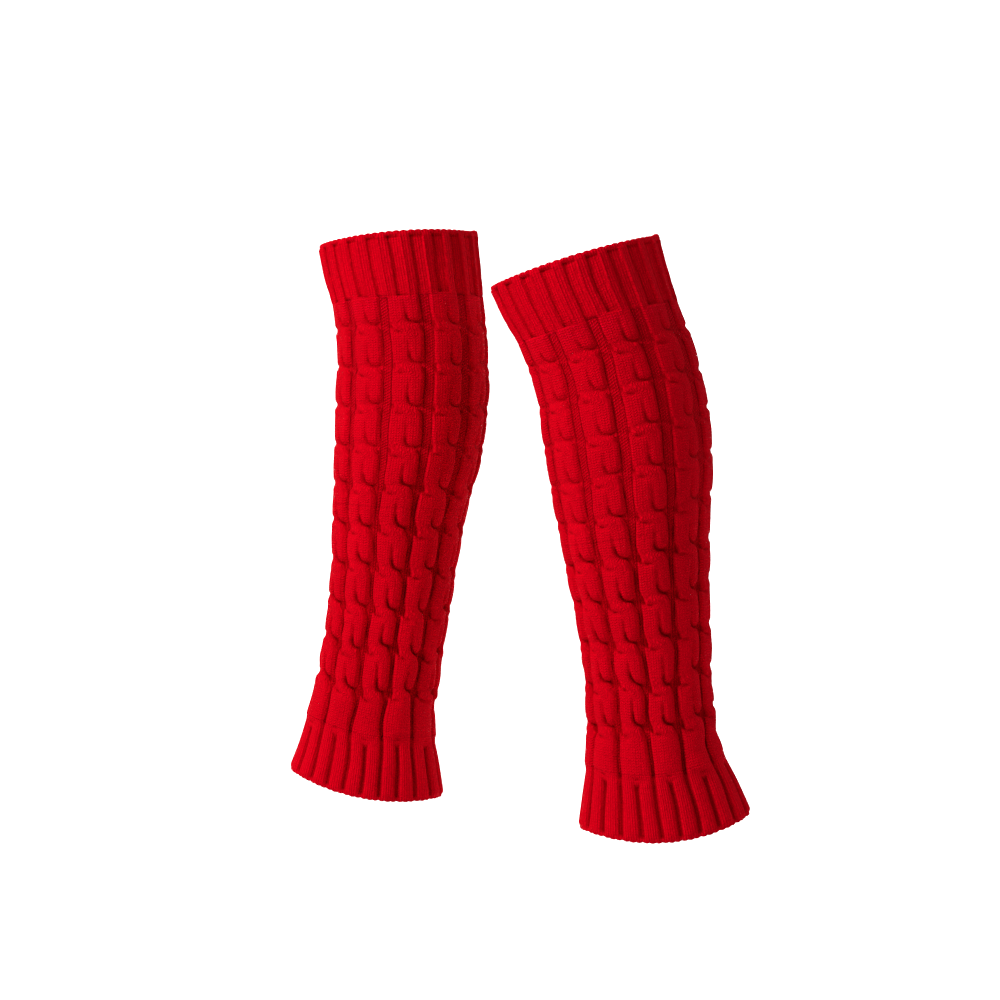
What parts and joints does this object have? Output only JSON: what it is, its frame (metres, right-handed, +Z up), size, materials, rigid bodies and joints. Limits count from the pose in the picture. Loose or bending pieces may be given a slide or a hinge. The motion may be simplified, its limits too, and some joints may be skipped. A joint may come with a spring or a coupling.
{
  "type": "pair of leg warmers",
  "caption": "Pair of cable-knit leg warmers in their worn shape: open knitted tubes for the calf with ribbed cuffs at the knee and the ankle, posed as on a walking wearer.",
  "frame": {"origin": "middle of the left leg warmer's top opening, where the wearer's left leg holds it up", "axes": "+Z up, -Y towards the wearer's front, +X towards the wearer's left side; the left leg warmer is behind and the right one in front of it"},
  "size_m": [0.2894, 0.3598, 0.4717],
  "materials": {
    "yarn": "soft crimson acrylic yarn, matt with a light fuzz"
  },
  "bodies": {
    "root": {"left_top_cuff": "yarn", "left_cable_leg": "yarn", "left_bottom_cuff": "yarn", "right_top_cuff": "yarn", "right_cable_leg": "yarn", "right_bottom_cuff": "yarn"}
  },
  "joints": []
}
